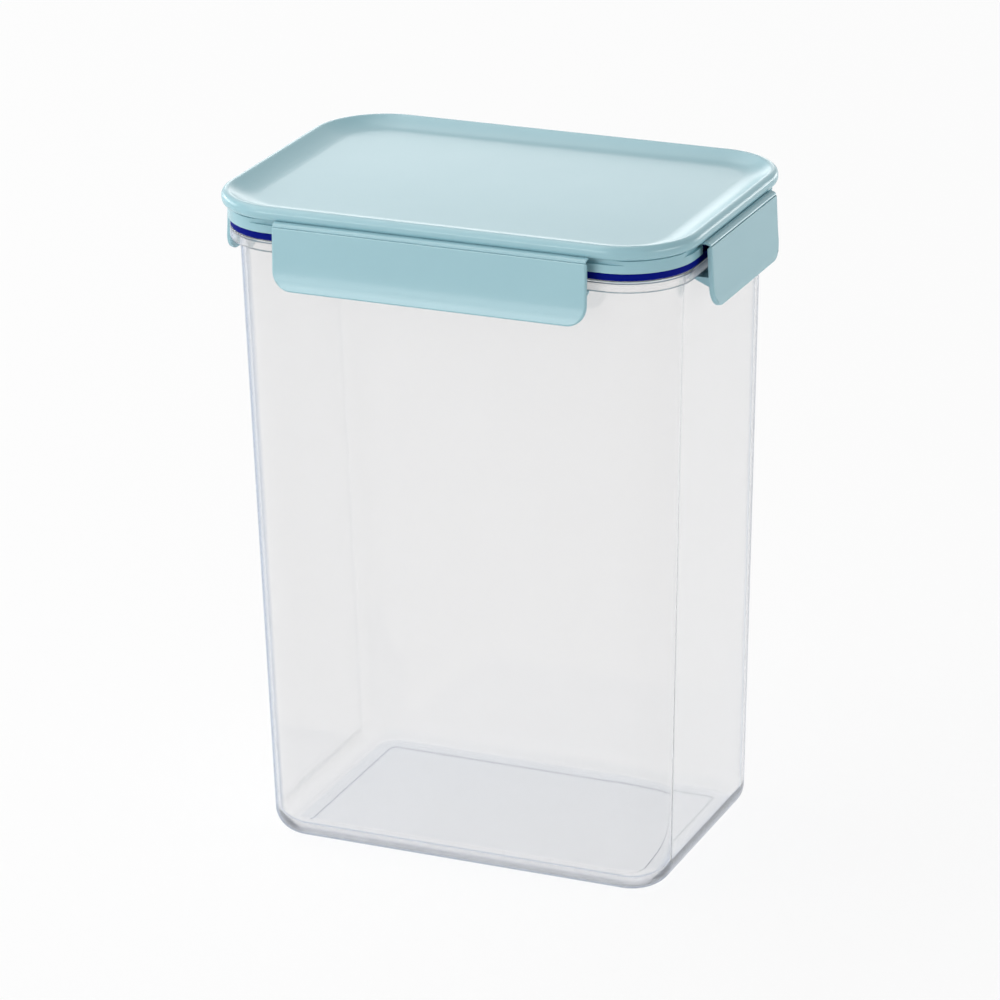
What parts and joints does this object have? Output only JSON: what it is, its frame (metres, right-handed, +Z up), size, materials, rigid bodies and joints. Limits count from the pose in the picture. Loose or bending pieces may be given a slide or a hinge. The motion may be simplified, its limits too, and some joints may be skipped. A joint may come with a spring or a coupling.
{
  "type": "tall clip-lid food container",
  "caption": "Tall clear drafted container with a clip-on lid: a flap on a film hinge on each side hooks under the rim flange and presses a soft seal onto it.",
  "frame": {"origin": "on the table, under the middle of the container", "axes": "+Z up, X along the long side, front (the long side with the pictured flap) towards -Y"},
  "size_m": [0.2104, 0.1488, 0.2764],
  "materials": {
    "clear_plastic": "clear, glossy",
    "lid_plastic": "satin, slightly translucent",
    "seal_rubber": "smooth silicone"
  },
  "bodies": {
    "container": {"container": "clear_plastic"},
    "lid": {"lid": "lid_plastic", "gasket": "seal_rubber", "front_film_hinge": "lid_plastic", "rear_film_hinge": "lid_plastic", "left_film_hinge": "lid_plastic", "right_film_hinge": "lid_plastic"},
    "front_flap": {"front_flap": "lid_plastic"},
    "rear_flap": {"rear_flap": "lid_plastic"},
    "left_flap": {"left_flap": "lid_plastic"},
    "right_flap": {"right_flap": "lid_plastic"}
  },
  "joints": [
    {"name": "lid_lift", "type": "slide", "parent": "container", "child": "lid", "axis": [0, 0, 1], "range_m": [0, 0.15]},
    {"name": "front_flap_hinge", "type": "hinge", "parent": "lid", "child": "front_flap", "pos_m": [0, -0.0701, 0.2704], "axis": [-1, 0, 0], "range_deg": [0, 110], "deforming": ["front_film_hinge"]},
    {"name": "rear_flap_hinge", "type": "hinge", "parent": "lid", "child": "rear_flap", "pos_m": [0, 0.0701, 0.2704], "axis": [1, 0, 0], "range_deg": [0, 110], "deforming": ["rear_film_hinge"]},
    {"name": "left_flap_hinge", "type": "hinge", "parent": "lid", "child": "left_flap", "pos_m": [-0.1009, 0, 0.2704], "axis": [0, 1, 0], "range_deg": [0, 110], "deforming": ["left_film_hinge"]},
    {"name": "right_flap_hinge", "type": "hinge", "parent": "lid", "child": "right_flap", "pos_m": [0.1009, 0, 0.2704], "axis": [0, -1, 0], "range_deg": [0, 110], "deforming": ["right_film_hinge"]}
  ]
}
